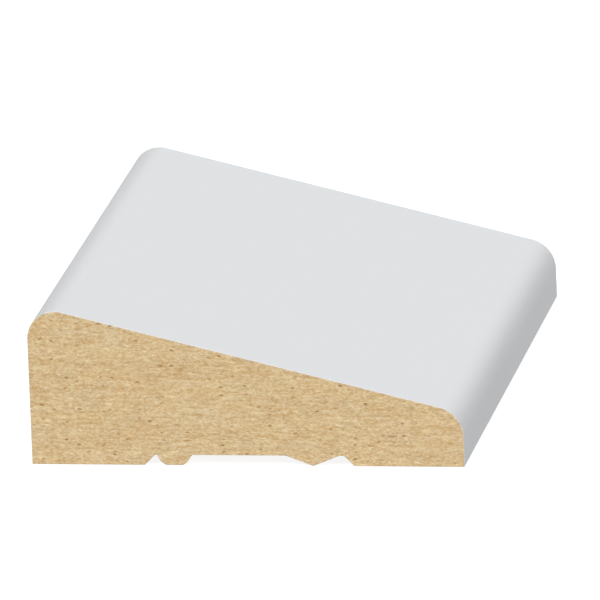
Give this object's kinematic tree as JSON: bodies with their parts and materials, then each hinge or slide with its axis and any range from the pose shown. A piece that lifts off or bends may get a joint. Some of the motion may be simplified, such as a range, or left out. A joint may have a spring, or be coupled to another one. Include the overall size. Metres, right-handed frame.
{
  "type": "door casing",
  "caption": "Short length of tapered door casing in primed fibreboard, with a plain sloping face, rounded edges and a relieved back.",
  "frame": {"origin": "middle of the back, on the plane of its two flat lands", "axes": "+X from the thick wall edge to the thin jamb edge, +Y along the length, +Z from the back to the face, which is up as the length lies on its back"},
  "size_m": [0.054, 0.08, 0.0195],
  "materials": {
    "primed_fibreboard": "satin"
  },
  "bodies": {
    "root": {"door_casing": "primed_fibreboard"}
  },
  "joints": []
}
